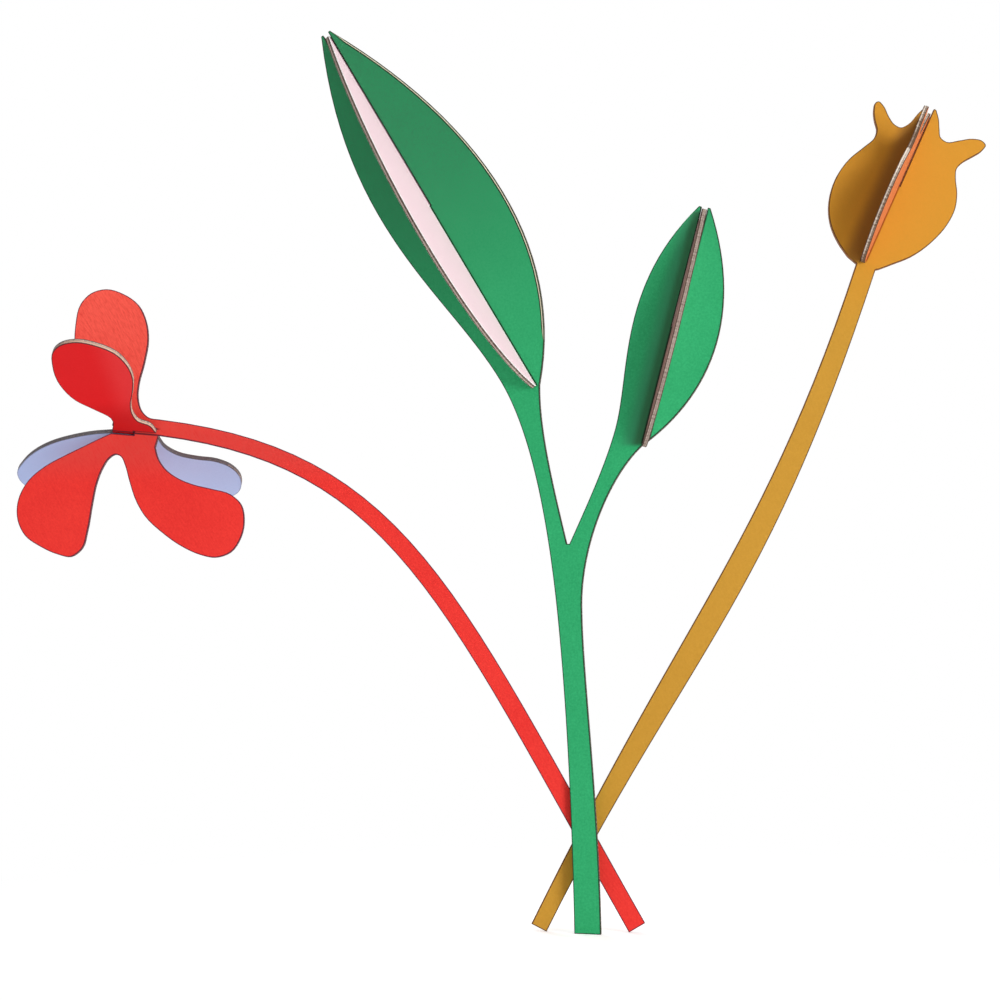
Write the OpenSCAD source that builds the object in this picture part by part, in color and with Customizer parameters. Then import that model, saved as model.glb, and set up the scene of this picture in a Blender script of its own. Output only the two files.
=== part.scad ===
// Set of three card cut-out flowers: a leaf stem, a blossom and a tulip.
// Every cut-out is a grey board with a printed paper on each face.
// Two cut-outs cross in a pair of slots at each bloom and leaf.
// Millimetres. X to the right, Y away from the viewer, Z up. The leaf stem's foot stands on the origin.

/* [Card] */

// Thickness of the grey board inside every cut-out
board_t = 1.5; // [1:0.1:2.4]
// Thickness of the printed paper on each face
paper_t = 0.2; // [0.1:0.05:0.4]
// Play on each side of a cut-out in the slot it slides into
slot_play = 0.1; // [0.05:0.05:0.3]
// Play between the ends of two slots that meet
seat_play = 0.2; // [0.1:0.1:0.8]
// Gap between two stems where one passes behind the other
stack_gap = 0.3; // [0.2:0.1:2]
// Flat land beside each slot at a pointed tip
tip_land = 1; // [0.6:0.1:2]

/* [Leaf stem] */

// Turn of the leaf stem about the upright, its right side towards the viewer
leaf_turn = 15; // [0:1:25]
// Width of the leaf stem at its foot
leaf_foot_w = 10.5; // [8:0.5:14]
// Width of the leaf stem at its waist, below the fork
leaf_waist_w = 10; // [7:0.2:12]
// Height of the waist
leaf_waist_h = 126; // [115:1:132]
// Distance of the waist to the left of the foot
leaf_waist_left = 6.7; // [4:0.1:9]
// Height of the crotch between the two branches
fork_h = 153; // [146:1:160]

/* [Large leaf] */

// Distance of the large leaf's lower end to the left of the foot
large_left = 20.5; // [18:0.5:24]
// Height of the large leaf's lower end
large_h = 217.5; // [205:0.5:230]
// Lean of the large leaf to the left
large_lean = 30.3; // [25:0.1:36]
// Length of the large leaf
large_len = 183; // [150:1:200]
// Reach of the large leaf's right side from its midrib
large_right_w = 30; // [22:0.2:34]
// Reach of the large leaf's left side from its midrib
large_left_w = 20.2; // [17:0.2:26]
// Reach of the crossing leaf from the midrib, to front and back
large_cross_w = 26; // [18:0.5:32]
// Tilt of the crossing leaf, its front edge to the left
large_tilt = 13; // [0:1:20]
// Reach of the large leaf's tip past the crossing leaf's
large_past = 1.8; // [0:0.2:6]

/* [Small leaf] */

// Distance of the small leaf's lower end to the right of the foot
small_right = 24; // [21:0.5:28]
// Height of the small leaf's lower end
small_h = 191.5; // [184:0.5:202]
// Lean of the small leaf to the right
small_lean = 15; // [8:1:22]
// Length of the small leaf
small_len = 98.5; // [80:0.5:110]
// Reach of the small leaf's right side from its midrib
small_right_w = 18.2; // [13:0.2:21]
// Reach of the small leaf's left side from its midrib
small_left_w = 16.6; // [15:0.2:20]
// Reach of the small crossing leaf from the midrib, to front and back
small_cross_w = 17; // [12:0.5:21]
// Tilt of the small crossing leaf, its front edge to the right
small_tilt = 15; // [0:1:20]
// Reach of the small leaf's tip past the crossing leaf's
small_past = 0.8; // [0:0.2:6]

/* [Blossom] */

// Distance of the blossom's middle to the left of the leaf stem's foot
blossom_left = 183; // [170:1:200]
// Height of the blossom's middle
blossom_h = 199; // [185:1:215]
// Slope of the blossom's slot, down to the right
blossom_slope = 5; // [0:1:10]
// Width of the blossom's waist, where its slot is
blossom_waist = 18.4; // [14:0.2:24]
// Width of the upper petal
upper_w = 30; // [24:0.5:36]
// Length of the upper petal
upper_len = 57.5; // [48:0.5:66]
// Spread of the lower petals from tip to tip
lower_spread = 92; // [80:1:104]
// Drop of the lower petals
lower_drop = 53; // [44:0.5:62]
// Width of the crossing cut-out's front petal
fore_w = 30.5; // [24:0.5:36]
// Length of the crossing cut-out's front petal
fore_len = 58.5; // [50:0.5:70]
// Spread of the crossing cut-out's back petals from tip to tip
aft_spread = 97; // [84:1:108]
// Drop of the crossing cut-out's back petals
aft_drop = 54; // [44:0.5:62]
// Tilt of the crossing cut-out above level, its front petal upwards
blossom_tilt = 26; // [15:1:35]
// Distance of the blossom stem's foot to the right of the leaf stem's foot
blossom_foot_right = 19.5; // [14:0.5:24]
// Width of the blossom stem at its foot
blossom_foot_w = 7.4; // [6:0.2:10]
// Width of the blossom stem at its neck
blossom_neck_w = 6.6; // [5:0.2:8]
// Change of the blossom stem's width halfway up
blossom_swell = 0.5; // [0:0.1:2]

/* [Tulip] */

// Distance of the tulip's lower end to the right of the leaf stem's foot
tulip_right = 115.2; // [105:0.2:128]
// Height of the tulip's lower end
tulip_h = 269.5; // [255:0.5:285]
// Lean of the tulip to the right
tulip_lean = 24.5; // [18:0.5:30]
// Length of the tulip
tulip_len = 72.5; // [60:0.5:84]
// Reach of the tulip's belly from its midrib, to each side
tulip_w = 25; // [20:0.5:30]
// Tilt of the crossing tulip, its front edge to the left
tulip_tilt = 11; // [0:1:20]
// Reach of the tulip's tip past the crossing tulip's
tulip_past = 2.6; // [0:0.2:5]
// Distance of the tulip stem's foot to the left of the leaf stem's foot
tulip_foot_left = 19; // [14:0.5:24]
// Width of the tulip stem at its foot
tulip_foot_w = 6.6; // [5.6:0.2:9]
// Width of the tulip stem at its neck
tulip_neck_w = 8.2; // [6.6:0.2:10]
// Swell of the tulip stem's width halfway up
tulip_swell = 2.7; // [0:0.1:4]

/* [Hidden] */

// Pieces in one long curve, and between two points of a petal
steps = 28;
petal_steps = 4;

// Whole thickness of a cut-out
card_t = board_t + 2 * paper_t;

// Colours of the papers and of the board
green = [0.19, 0.62, 0.40];
pink = [0.96, 0.83, 0.86];
red = [0.90, 0.22, 0.19];
lavender = [0.63, 0.66, 0.80];
ochre = [0.85, 0.58, 0.19];
coral = [0.90, 0.50, 0.32];
grey = [0.65, 0.60, 0.54];

// Width of a slot that takes a cut-out tilted away from square
function slot_w(tilt) = card_t * (1 / cos(tilt) + tan(tilt)) + 2 * slot_play;

// Point at share t of the cubic curve with ends p[0], p[3] and handles p[1], p[2]
function cubic(p, t) = pow(1 - t, 3) * p[0] + 3 * pow(1 - t, 2) * t * p[1]
    + 3 * (1 - t) * pow(t, 2) * p[2] + pow(t, 3) * p[3];

// Direction of that curve at share t
function heading(p, t) = let (d = pow(1 - t, 2) * (p[1] - p[0])
    + 2 * t * (1 - t) * (p[2] - p[1]) + pow(t, 2) * (p[3] - p[2])) d / norm(d);

// Points along a cubic curve, its last point left to the stretch that follows
function curve(p) = [for (i = [0 : steps - 1]) cubic(p, i / steps)];

// Direction of a smooth line through the points p at point i
function through_heading(p, i) =
    i == 0 ? (p[1] - p[0]) / norm(p[1] - p[0]) :
    i == len(p) - 1 ? (p[i] - p[i - 1]) / norm(p[i] - p[i - 1]) :
    let (a = norm(p[i] - p[i - 1]), b = norm(p[i + 1] - p[i]))
    ((p[i] - p[i - 1]) * b / a + (p[i + 1] - p[i]) * a / b) / (a + b);

// Smooth line through the points p, its last point left to the stretch that follows
function through(p) = [for (i = [0 : len(p) - 2], k = [0 : petal_steps - 1])
    let (third = norm(p[i + 1] - p[i]) / 3)
    cubic([p[i], p[i] + third * through_heading(p, i),
        p[i + 1] - third * through_heading(p, i + 1), p[i + 1]], k / petal_steps)];

// A point, and a list of points, of a bloom or leaf set at a place and leaning to the right
function set_point(q, at, lean) = at
    + [q[0] * cos(lean) + q[1] * sin(lean), q[1] * cos(lean) - q[0] * sin(lean)];
function set_points(points, at, lean) = [for (q = points) set_point(q, at, lean)];

// The same points in the other order
function back_to_front(points) = [for (i = [len(points) - 1 : -1 : 0]) points[i]];

// Shares of a size turned into millimetres, with the petal skewed sideways as it grows
function sized(shares, w, l, skew) = [for (q = shares) [q[0] * w + skew * q[1] * l, q[1] * l]];

// Offset of a leaf side's two handles that makes its widest reach w, between ends at a and b
function belly(w, a, b) = (w - (a + b) / 8) / 0.75;

// Offset of a leaf side's upper handle alone, the lower one staying at the neck offset a
function late_belly(w, a, b) = (w - 0.352 * a - 0.216 * b) / 0.432;

// Shares of a leaf's length at which the stem runs into it, and how far up its handles stand
blade_start = 0.05;
neck_run = 0.29;
belly_run = 0.35;
cross_low = 0.12;
cross_high = 0.58;

// Right side of a leaf blade from its tip down to where the stem's right edge begins, its belly low or high
function blade_right(length, w, neck, tip, low) = curve([[tip, length],
    [belly(w, neck, tip), (low + belly_run) * length], [belly(w, neck, tip), low * length], [neck, 0]]);

// Left side of a leaf blade from where the stem's left edge ends up to its tip, its belly low or high
function blade_left(length, w, neck, tip, high) = curve([[-neck, blade_start * length],
    [-neck, neck_run * length], [-late_belly(w, neck, tip), high * length], [-tip, length]]);

// Slot open at the tip, from its left wall round to its right wall, seated halfway up the crossing cut-out
function tip_slot(length, past, tilt) = let (s = slot_w(tilt) / 2,
        seat = length / 2 - seat_play / 2, top = length + past)
    [[-s - tip_land, top], [-s, top], [-s, seat], [s, seat], [s, top]];

// Outline of a crossing leaf with its slot open at the lower end
function crossing_leaf(length, w, tilt) = let (s = slot_w(tilt) / 2, end = s + tip_land,
        seat = length / 2 + seat_play / 2,
        side = curve([[end, 0], [belly(w, end, tip_land), cross_low * length],
            [belly(w, end, tip_land), cross_high * length], [tip_land, length]]))
    concat([[s, seat], [s, 0]], side, [[tip_land, length], [-tip_land, length]],
        [for (q = back_to_front(side)) [-q[0], q[1]]], [[-s, 0], [-s, seat]]);

// Leaf stem

large_at = [-large_left, large_h];
small_at = [small_right, small_h];
large_tip = slot_w(large_tilt) / 2 + tip_land;
small_tip = slot_w(small_tilt) / 2 + tip_land;
large_blade = large_len + large_past;
small_blade = small_len + small_past;

// Offsets from each midrib at which the stem's edges run into the blades
large_neck_left = 11.1;
large_neck_right = 2;
small_neck_left = 13;
small_neck_right = -0.8;

// Shares of each leaf's length at which the handles of its left and right belly stand
large_left_high = 0.56;
large_right_low = 0.23;
small_left_high = 0.62;
small_right_low = 0.29;

// Offset of the crotch to the left of the waist, and the width of its blunt bottom
crotch_left = 0.4;
crotch_w = 1.2;

// Handles that bow the stem's edges, each from the point it is named for
foot_left_pull = [-0.7, 38];
trunk_left_pull = [4.3, -43];
waist_left_pull = [-3.9, 38];
large_start_pull = -15;
large_end_pull = [-0.3, -18];
crotch_left_pull = [-6, 25];
crotch_right_pull = [7, 15];
small_start_pull = [-4, -14.5];
small_end_pull = [-13.5, -12];
waist_right_pull = [-0.8, 25];
trunk_right_pull = [0.2, -26];
foot_right_pull = [-0.8, 55];

waist_left = [-leaf_waist_left - leaf_waist_w / 2, leaf_waist_h];
waist_right = [-leaf_waist_left + leaf_waist_w / 2, leaf_waist_h];
crotch_from = [-leaf_waist_left - crotch_left - crotch_w / 2, fork_h];
crotch_to = crotch_from + [crotch_w, 0];
large_start = set_point([-large_neck_left, blade_start * large_blade], large_at, -large_lean);
large_end = set_point([large_neck_right, 0], large_at, -large_lean);
small_start = set_point([-small_neck_left, blade_start * small_blade], small_at, small_lean);
small_end = set_point([small_neck_right, 0], small_at, small_lean);

// Left edge of the trunk, from the foot to the waist
foot_left = [-leaf_foot_w / 2, 0];
foot_right = [leaf_foot_w / 2, 0];
trunk_left = [foot_left, foot_left + foot_left_pull, waist_left + trunk_left_pull, waist_left];

leaf_stem_outline = concat(
    curve(trunk_left),
    curve([waist_left, waist_left + waist_left_pull,
        set_point([-large_neck_left, large_start_pull], large_at, -large_lean), large_start]),
    set_points(concat(
        blade_left(large_blade, large_left_w, large_neck_left, large_tip, large_left_high),
        tip_slot(large_len, large_past, large_tilt),
        blade_right(large_blade, large_right_w, large_neck_right, large_tip, large_right_low)),
        large_at, -large_lean),
    curve([large_end, large_end + large_end_pull, crotch_from + crotch_left_pull, crotch_from]),
    [crotch_from],
    curve([crotch_to, crotch_to + crotch_right_pull, small_start + small_start_pull, small_start]),
    set_points(concat(
        blade_left(small_blade, small_left_w, small_neck_left, small_tip, small_left_high),
        tip_slot(small_len, small_past, small_tilt),
        blade_right(small_blade, small_right_w, small_neck_right, small_tip, small_right_low)),
        small_at, small_lean),
    curve([small_end, small_end + small_end_pull, waist_right + waist_right_pull, waist_right]),
    curve([waist_right, waist_right + trunk_right_pull, foot_right + foot_right_pull, foot_right]),
    [foot_right]);

// Stems of the blossom and the tulip

// Width of a stem at share t of its length
function stem_w(t, foot_w, neck_w, swell) = foot_w + (neck_w - foot_w) * t
    + swell * pow(4 * t * (1 - t), 2);

// One edge of a stem from foot to neck, side 1 on the left and -1 on the right
function stem_edge(p, foot_w, neck_w, swell, side) = [for (i = [0 : steps])
    let (t = i / steps, d = heading(p, t), half = stem_w(t, foot_w, neck_w, swell) / 2)
    cubic(p, t) + side * half * [-d[1], d[0]]];

// Height of a stem's middle at its foot when the square-cut end rests on one corner
function foot_rise(foot_w, lean) = foot_w / 2 * sin(lean);

// Leans of the two stems at the foot and at the neck, and how far each end keeps to its lean
blossom_foot_lean = 29.7;
blossom_foot_run = 150;
blossom_neck_lean = 82.8;
blossom_neck_run = 98;
tulip_foot_lean = 27;
tulip_foot_run = 128;
tulip_neck_lean = 19;
tulip_neck_run = 136;

// Blossom

blossom_at = [-blossom_left, blossom_h];
waist_half = blossom_waist / 2;

// Hollows between the waist and the upper petal, on the blossom and on the crossing cut-out
upper_hollow = [waist_half - 4, 6.2];
fore_hollow = [waist_half - 2, 6.5];

// Middle of the stem's neck beside the waist, and the stem's middle line from foot to neck
blossom_neck_at = [waist_half + 1, 2.4];
blossom_neck = set_point(blossom_neck_at, blossom_at, blossom_slope);
blossom_foot = [blossom_foot_right, foot_rise(blossom_foot_w, blossom_foot_lean)];
blossom_line = [blossom_foot,
    blossom_foot + blossom_foot_run * [-sin(blossom_foot_lean), cos(blossom_foot_lean)],
    blossom_neck + blossom_neck_run * [sin(blossom_neck_lean), -cos(blossom_neck_lean)], blossom_neck];

// Upper petal from its left neck round to its right neck, in shares of its width and length
upper_shares = [[-0.29, 0.16], [-0.5, 0.25], [-0.73, 0.34], [-0.9, 0.5], [-0.96, 0.72], [-0.92, 0.88],
    [-0.8, 0.96], [-0.6, 1], [-0.35, 0.975], [-0.14, 0.91], [-0.01, 0.8], [0.05, 0.67], [0.035, 0.5],
    [-0.01, 0.33], [0, 0.24], [0.07, 0.15]];

// Right lower petal from the stem round to the notch, in shares of half the spread and of the drop
right_shares = [[0.2, -0.11], [0.23, -0.18], [0.3, -0.26], [0.43, -0.33], [0.58, -0.37], [0.74, -0.39],
    [0.91, -0.42], [1.01, -0.49], [1.05, -0.6], [1.04, -0.73], [0.96, -0.86], [0.83, -0.91], [0.7, -0.9],
    [0.52, -0.845], [0.35, -0.76], [0.18, -0.645], [0.09, -0.54], [0.005, -0.38], [-0.05, -0.26],
    [-0.09, -0.205]];

// Left lower petal from the notch round to the waist
left_shares = [[-0.14, -0.19], [-0.19, -0.22], [-0.235, -0.29], [-0.275, -0.41], [-0.295, -0.58],
    [-0.31, -0.79], [-0.34, -0.93], [-0.43, -1], [-0.55, -0.99], [-0.7, -0.945], [-0.85, -0.87],
    [-0.93, -0.76], [-0.95, -0.62], [-0.88, -0.45], [-0.75, -0.33], [-0.6, -0.24], [-0.44, -0.155],
    [-0.3, -0.08]];

lower_half = lower_spread / 2;
blossom_slot = slot_w(blossom_tilt) / 2;
blossom_seat = seat_play / 2;

// Blossom with its stem, its slot open at the left
blossom_outline = concat(
    set_points(concat(
        [[blossom_seat, blossom_slot]],
        through(concat([[-waist_half, blossom_slot]], sized(upper_shares, upper_w, upper_len, 0),
            [upper_hollow, blossom_neck_at + [0, blossom_neck_w / 2]]))), blossom_at, blossom_slope),
    back_to_front(stem_edge(blossom_line, blossom_foot_w, blossom_neck_w, blossom_swell, -1)),
    stem_edge(blossom_line, blossom_foot_w, blossom_neck_w, blossom_swell, 1),
    set_points(concat(
        through(concat(sized(concat(right_shares, left_shares), lower_half, lower_drop, 0),
            [[-waist_half, -blossom_slot]])),
        [[-waist_half, -blossom_slot], [blossom_seat, -blossom_slot]]), blossom_at, blossom_slope));

// Skew of the crossing cut-out's front petal to the right
fore_skew = 0.1;

// Right and left back petals of the crossing cut-out, in shares of half their spread and of their drop
aft_right_shares = [[0.2, -0.07], [0.23, -0.16], [0.33, -0.25], [0.49, -0.285], [0.65, -0.295],
    [0.76, -0.35], [0.83, -0.46], [0.84, -0.58], [0.8, -0.71], [0.7, -0.805], [0.54, -0.825],
    [0.35, -0.75], [0.165, -0.63], [0.03, -0.48], [-0.06, -0.325], [-0.155, -0.21]];
aft_left_shares = [[-0.265, -0.24], [-0.35, -0.37], [-0.42, -0.555], [-0.495, -0.76], [-0.59, -0.91],
    [-0.72, -0.98], [-0.885, -1], [-1.05, -0.965], [-1.15, -0.86], [-1.16, -0.71], [-1.08, -0.565],
    [-0.945, -0.4], [-0.755, -0.245], [-0.55, -0.135], [-0.36, -0.06]];
aft_half = aft_spread / 2;

// Line behind the slot's middle along which the underside's two papers meet
paper_joint = -card_t / 2;

// Edges of the crossing cut-out's front half and back half, its slot open at the right
cross_waist = [-waist_half, paper_joint];
fore_edge = concat(
    through(concat([cross_waist], sized(upper_shares, fore_w, fore_len, fore_skew),
        [fore_hollow, [waist_half, blossom_slot]])),
    [[waist_half, blossom_slot], [-blossom_seat, blossom_slot]]);
aft_edge = concat(
    [[-blossom_seat, -blossom_slot]],
    through(concat([[waist_half, -blossom_slot]],
        sized(concat(aft_right_shares, aft_left_shares), aft_half, aft_drop, 0), [cross_waist])));

// The whole crossing cut-out, and its two halves divided along the papers' joint
crossing_petals = concat(fore_edge, aft_edge);
fore_part = concat([[-blossom_seat, paper_joint]], fore_edge);
aft_part = concat([[-blossom_seat, paper_joint]], aft_edge, [cross_waist]);

// Tulip

tulip_at = [tulip_right, tulip_h];
tulip_foot = [-tulip_foot_left, foot_rise(tulip_foot_w, tulip_foot_lean)];
tulip_neck_at = [1.8, -1];
tulip_neck = set_point(tulip_neck_at, tulip_at, tulip_lean);
tulip_line = [tulip_foot,
    tulip_foot + tulip_foot_run * [sin(tulip_foot_lean), cos(tulip_foot_lean)],
    tulip_neck - tulip_neck_run * [sin(tulip_neck_lean), cos(tulip_neck_lean)], tulip_neck];

// Each side of the tulip from the stem up to its tip, in shares of its reach and length
tulip_right_shares = [[0.46, 0.065], [0.68, 0.145], [0.9, 0.275], [1.02, 0.41], [1.03, 0.51], [0.96, 0.595],
    [0.83, 0.68], [0.79, 0.725], [0.83, 0.77], [0.96, 0.835], [1.06, 0.89], [1.075, 0.925], [1, 0.94],
    [0.84, 0.93], [0.63, 0.885], [0.46, 0.85], [0.34, 0.86], [0.27, 0.9], [0.19, 0.955]];
tulip_left_shares = [[-0.27, 0], [-0.5, 0.05], [-0.73, 0.125], [-0.87, 0.205], [-0.95, 0.295],
    [-0.97, 0.41], [-0.9, 0.525], [-0.76, 0.625], [-0.66, 0.705], [-0.67, 0.745], [-0.78, 0.8],
    [-0.86, 0.855], [-0.875, 0.9], [-0.84, 0.91], [-0.75, 0.9], [-0.58, 0.85], [-0.45, 0.822],
    [-0.33, 0.82], [-0.24, 0.855], [-0.165, 0.935]];

tulip_slot = slot_w(tulip_tilt) / 2;
tulip_tip = tulip_slot + tip_land;

// Tulip with its stem, its slot open at the tip
tulip_outline = concat(
    stem_edge(tulip_line, tulip_foot_w, tulip_neck_w, tulip_swell, 1),
    set_points(concat(
        through(concat(sized(tulip_left_shares, tulip_w, tulip_len, 0), [[-tulip_tip, tulip_len]])),
        tip_slot(tulip_len, 0, tulip_tilt),
        through(concat([[tulip_tip, tulip_len]],
            back_to_front(sized(tulip_right_shares, tulip_w, tulip_len, 0)),
            [tulip_neck_at + [tulip_neck_w / 2, 0]]))), tulip_at, tulip_lean),
    back_to_front(stem_edge(tulip_line, tulip_foot_w, tulip_neck_w, tulip_swell, -1)));

// Crossing tulip of the same shape with its left side to the front, its slot open at the lower end
cross_seat = tulip_len / 2 + seat_play / 2;
cross_len = tulip_len - tulip_past;
crossing_tulip = concat(
    [[tulip_slot, cross_seat], [tulip_slot, 0]],
    through(concat([[tulip_tip, 0]], sized(tulip_left_shares, -tulip_w, cross_len, 0),
        [[tip_land, cross_len]])),
    [[tip_land, cross_len]],
    through(concat([[-tip_land, cross_len]],
        back_to_front(sized(tulip_right_shares, -tulip_w, cross_len, 0)), [[-tulip_tip, 0]])),
    [[-tulip_tip, 0], [-tulip_slot, 0], [-tulip_slot, cross_seat]]);

// Depths of the stems: the blossom clears the leaf stem's turned left edge, the tulip clears the blossom
blossom_y = card_t / 2 * (1 + cos(leaf_turn)) - cubic(trunk_left, 0.5)[0] * sin(leaf_turn) + stack_gap;
tulip_y = blossom_y + card_t + stack_gap;

// One layer of a cut-out standing upright, from depth y_from
module layer(outline, y_from, thick) {
    translate([0, y_from + thick, 0])
        rotate([90, 0, 0])
            linear_extrude(thick)
                polygon(outline);
}

// The three layers of a cut-out: board, near paper and far paper
module board(outline) {
    layer(outline, -board_t / 2, board_t);
}

module near_paper(outline) {
    layer(outline, -card_t / 2, paper_t);
}

module far_paper(outline) {
    layer(outline, board_t / 2, paper_t);
}

// Places of the cut-outs
module at_leaf_stem() {
    rotate([0, 0, -leaf_turn])
        children();
}

module at_large_leaf() {
    at_leaf_stem()
        translate([large_at[0], 0, large_at[1]])
            rotate([0, -large_lean, 0])
                rotate([0, 0, -90 - large_tilt])
                    children();
}

module at_small_leaf() {
    at_leaf_stem()
        translate([small_at[0], 0, small_at[1]])
            rotate([0, small_lean, 0])
                rotate([0, 0, -90 + small_tilt])
                    children();
}

module at_blossom_stem() {
    translate([0, blossom_y, 0])
        children();
}

module at_blossom_petals() {
    at_blossom_stem()
        translate([blossom_at[0], 0, blossom_at[1]])
            rotate([0, blossom_slope, 0])
                rotate([90 - blossom_tilt, 0, 0])
                    children();
}

module at_tulip_stem() {
    translate([0, tulip_y, 0])
        children();
}

module at_tulip_petals() {
    at_tulip_stem()
        translate([tulip_at[0], 0, tulip_at[1]])
            rotate([0, tulip_lean, 0])
                rotate([0, 0, -90 - tulip_tilt])
                    children();
}

// Forked green stem with the main halves of both leaves
module leaf_stem_board() {
    color(grey) at_leaf_stem() board(leaf_stem_outline);
}

module leaf_stem_front() {
    color(green) at_leaf_stem() near_paper(leaf_stem_outline);
}

module leaf_stem_back() {
    color(green) at_leaf_stem() far_paper(leaf_stem_outline);
}

// Pink leaf that crosses the large leaf
large_cross = crossing_leaf(large_len, large_cross_w, large_tilt);

module large_leaf_board() {
    color(grey) at_large_leaf() board(large_cross);
}

module large_leaf_left() {
    color(pink) at_large_leaf() near_paper(large_cross);
}

module large_leaf_right() {
    color(pink) at_large_leaf() far_paper(large_cross);
}

// Pink leaf that crosses the small leaf
small_cross = crossing_leaf(small_len, small_cross_w, small_tilt);

module small_leaf_board() {
    color(grey) at_small_leaf() board(small_cross);
}

module small_leaf_left() {
    color(pink) at_small_leaf() near_paper(small_cross);
}

module small_leaf_right() {
    color(pink) at_small_leaf() far_paper(small_cross);
}

// Red blossom with its bowed stem
module blossom_stem_board() {
    color(grey) at_blossom_stem() board(blossom_outline);
}

module blossom_stem_front() {
    color(red) at_blossom_stem() near_paper(blossom_outline);
}

module blossom_stem_back() {
    color(red) at_blossom_stem() far_paper(blossom_outline);
}

// Crossing petals, printed red in front of the slot and lavender behind it on the underside
module blossom_petals_board() {
    color(grey) at_blossom_petals() board(crossing_petals);
}

module blossom_petals_top() {
    color(red) at_blossom_petals() far_paper(crossing_petals);
}

module blossom_petals_red() {
    color(red) at_blossom_petals() near_paper(fore_part);
}

module blossom_petals_lavender() {
    color(lavender) at_blossom_petals() near_paper(aft_part);
}

// Ochre tulip with its stem
module tulip_stem_board() {
    color(grey) at_tulip_stem() board(tulip_outline);
}

module tulip_stem_front() {
    color(ochre) at_tulip_stem() near_paper(tulip_outline);
}

module tulip_stem_back() {
    color(ochre) at_tulip_stem() far_paper(tulip_outline);
}

// Coral tulip that crosses the ochre one
module tulip_petals_board() {
    color(grey) at_tulip_petals() board(crossing_tulip);
}

module tulip_petals_left() {
    color(coral) at_tulip_petals() near_paper(crossing_tulip);
}

module tulip_petals_right() {
    color(coral) at_tulip_petals() far_paper(crossing_tulip);
}

leaf_stem_board();
leaf_stem_front();
leaf_stem_back();
large_leaf_board();
large_leaf_left();
large_leaf_right();
small_leaf_board();
small_leaf_left();
small_leaf_right();
blossom_stem_board();
blossom_stem_front();
blossom_stem_back();
blossom_petals_board();
blossom_petals_top();
blossom_petals_red();
blossom_petals_lavender();
tulip_stem_board();
tulip_stem_front();
tulip_stem_back();
tulip_petals_board();
tulip_petals_left();
tulip_petals_right();
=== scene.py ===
"""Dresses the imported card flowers: printed papers, layered board edges, floor, light and camera."""
import logging
import math
from collections.abc import Callable
from dataclasses import dataclass, field
from enum import Enum

import bmesh
import bpy
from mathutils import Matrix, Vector, kdtree


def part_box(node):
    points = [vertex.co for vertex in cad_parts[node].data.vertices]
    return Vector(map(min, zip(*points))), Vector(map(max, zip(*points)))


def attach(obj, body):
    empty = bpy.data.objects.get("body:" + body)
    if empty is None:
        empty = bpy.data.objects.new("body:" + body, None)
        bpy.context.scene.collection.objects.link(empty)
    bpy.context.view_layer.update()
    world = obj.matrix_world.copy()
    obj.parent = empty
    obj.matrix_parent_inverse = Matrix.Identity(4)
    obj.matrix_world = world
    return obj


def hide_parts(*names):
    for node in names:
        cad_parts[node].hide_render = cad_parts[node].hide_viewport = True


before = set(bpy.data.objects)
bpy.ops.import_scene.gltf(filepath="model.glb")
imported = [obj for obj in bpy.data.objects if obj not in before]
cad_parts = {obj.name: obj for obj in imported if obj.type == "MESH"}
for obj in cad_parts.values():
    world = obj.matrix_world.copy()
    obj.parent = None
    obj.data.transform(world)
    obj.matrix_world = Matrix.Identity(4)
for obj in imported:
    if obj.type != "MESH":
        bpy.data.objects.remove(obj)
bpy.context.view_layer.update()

LOG = logging.getLogger("card_flowers")
MM = 0.001
# Points nearer than this are one point
MERGE = 0.001 * MM
# How far a point of a flat face may lie from its plane
PLANE_SLACK = 0.01 * MM
# Least cosine between a flat face's normal and the direction across its card
FLAT = 0.9
# Names of the edge map and of the values at a mesh's points
RUN_MAP = "edge_run"
RIM = "rim"
MARGIN = "margin"
# The cut edge's soot; on the tulip's crossing it also carries painted highlight and shade
SOOT_AND_SHADE = "soot_and_shade"
# Middle of the values that a noise texture gives
NOISE_MIDDLE = 0.5
# Places of the colour sockets on a Mix node
MIX_FIRST, MIX_SECOND, MIX_RESULT = 6, 7, 2
# The curve of a screen's colours
SCREEN_FULL, SCREEN_KNEE, SCREEN_SLOPE = 255, 0.04045, 12.92
SCREEN_SHIFT, SCREEN_POWER = 0.055, 2.4
WHITE = (1.0, 1.0, 1.0, 1.0)

Colour = tuple[float, float, float]
Way = tuple[float, float, float]
Span = tuple[float, float]

UP: Way = (0.0, 0.0, 1.0)
RIGHT: Way = (1.0, 0.0, 0.0)
UP_LEFT: Way = (-0.35, 0.0, 0.94)


class Print(Enum):
    """The printed papers, by what they cover."""

    LEAF = "leaf_print"
    CROSS_LEAF = "cross_leaf_print"
    DUSKY_LEAF = "dusky_leaf_print"
    SMALL_LEAF = "small_leaf_print"
    BLOSSOM = "blossom_print"
    CROSS_PETAL = "cross_petal_print"
    BACK_PETAL = "back_petal_print"
    TULIP = "tulip_print"
    CROSS_TULIP = "cross_tulip_print"


class Cut(Enum):
    """The looks of a paper's thin cut edge."""

    SCORCHED = "scorched_cut"
    AMBER = "amber_cut"
    BARE = "bare_cut"


class Part(Enum):
    """The material slots of one printed paper."""

    PRINT = 0
    CUT = 1


@dataclass(frozen=True)
class Noise:
    """A random pattern: the size of one patch, and the number and strength of its finer layers."""

    size: float = 1.0
    detail: float = 2.0
    rough: float = 0.5


@dataclass(frozen=True)
class Matt:
    """A matt surface: its roughness and how far a pattern changes it, its shine and its relief."""

    rough: float
    change: float
    shine: float
    depth: float
    strength: float = 0.5


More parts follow.
